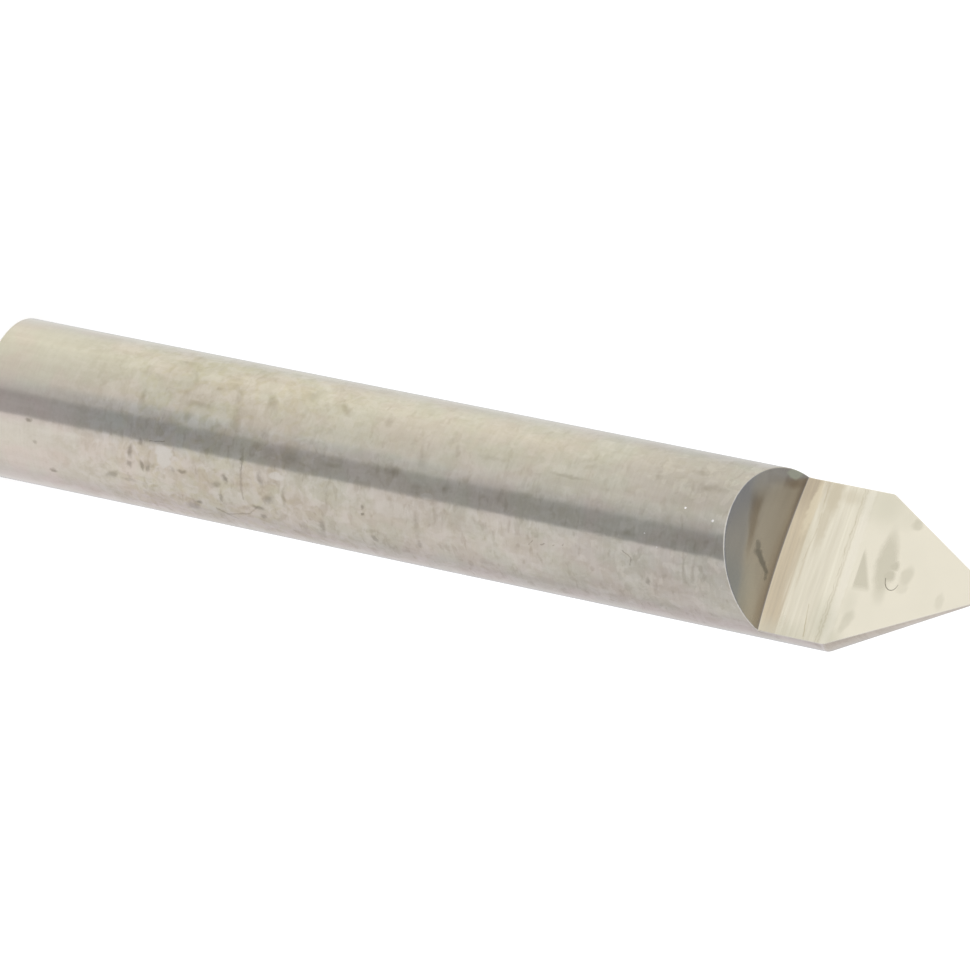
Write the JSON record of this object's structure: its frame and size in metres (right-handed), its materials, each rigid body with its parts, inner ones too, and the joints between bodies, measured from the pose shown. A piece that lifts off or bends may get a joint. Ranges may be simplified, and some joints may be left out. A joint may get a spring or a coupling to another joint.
{
  "type": "v groove router bit",
  "caption": "Half-round V groove router bit ground in one piece from a round carbide bar: a plain shank, a flat with a sloping run-out, and a relieved point.",
  "frame": {"origin": "centre of the shank's end face, which the bit stands on", "axes": "+Z along the bit's axis from the shank's end to the point; the ground flat faces -Y; the cutting edge is on the -X side and the trailing edge on the +X side"},
  "size_m": [0.008, 0.008, 0.0508],
  "materials": {
    "ground_carbide": "ground solid tungsten carbide, satin on the shank and streaked by the wheel on the flat"
  },
  "bodies": {
    "root": {"router_bit": "ground_carbide"}
  },
  "joints": []
}
